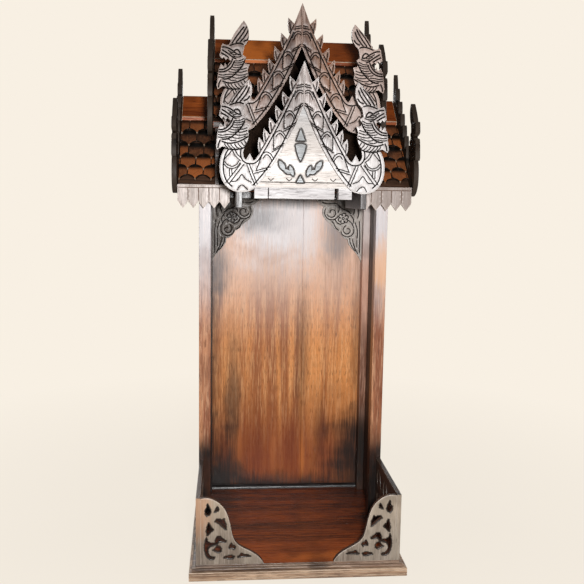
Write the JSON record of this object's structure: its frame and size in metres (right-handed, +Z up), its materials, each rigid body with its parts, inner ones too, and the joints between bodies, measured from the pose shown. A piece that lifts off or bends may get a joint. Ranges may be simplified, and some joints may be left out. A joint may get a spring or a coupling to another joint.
{
  "type": "spirit house",
  "caption": "Wall-hung carved teak spirit house: a tall open niche on a moulded base, under a stepped half roof with a stepped naga-gabled porch and low fretwork sides.",
  "frame": {"origin": "middle of the base plank's rear bottom edge, on the wall plane and at the underside of the base", "axes": "+X to the right seen from the front, +Y into the wall, +Z up"},
  "size_m": [0.358, 0.292, 0.8],
  "materials": {
    "base_wood": "dark brown varnished teak, worn at the edges",
    "panel_wood": "reddish brown varnished teak with upright grain",
    "worn_carved_wood": "carved teak, greyish where the dark stain is rubbed off",
    "dark_carved_wood": "carved teak with near-black stain",
    "fretwork_wood": "fretwork in greyish brown teak",
    "roof_wood": "brown varnished teak boards and shingles",
    "frame_wood": "brown varnished teak"
  },
  "bodies": {
    "root": {"back_battens": "frame_wood", "back_panel": "panel_wood", "base_plank": "base_wood", "ceiling_board": "panel_wood", "floor_board": "base_wood", "front_bargeboard_left": "worn_carved_wood", "front_bargeboard_right": "worn_carved_wood", "front_bracket_left": "fretwork_wood", "front_bracket_right": "fretwork_wood", "front_lintel": "frame_wood", "front_pediment": "worn_carved_wood", "front_porch_roof_left": "roof_wood", "front_porch_roof_right": "roof_wood", "front_post_left": "frame_wood", "front_post_right": "frame_wood", "lower_eave_board": "roof_wood", "lower_end_board_left": "dark_carved_wood", "lower_end_board_right": "dark_carved_wood", "lower_ridge_boards": "roof_wood", "lower_roof_board": "roof_wood", "porch_beam": "worn_carved_wood", "porch_end_blocks": "worn_carved_wood", "porch_side_rails": "frame_wood", "rear_bargeboard_left": "worn_carved_wood", "rear_bargeboard_right": "worn_carved_wood", "rear_pediment": "worn_carved_wood", "rear_porch_roof_left": "roof_wood", "rear_porch_roof_right": "roof_wood", "side_panel_left": "fretwork_wood", "side_panel_right": "fretwork_wood", "side_wall_left": "frame_wood", "side_wall_right": "frame_wood", "spandrel_left": "fretwork_wood", "spandrel_right": "fretwork_wood", "upper_back_board": "panel_wood", "upper_eave_boards": "roof_wood", "upper_end_board_left": "dark_carved_wood", "upper_end_board_right": "dark_carved_wood", "upper_front_boards": "frame_wood", "upper_gable_wall_left": "frame_wood", "upper_gable_wall_right": "frame_wood", "upper_ridge_board": "roof_wood", "upper_roof_board": "roof_wood", "valances": "worn_carved_wood"}
  },
  "joints": []
}
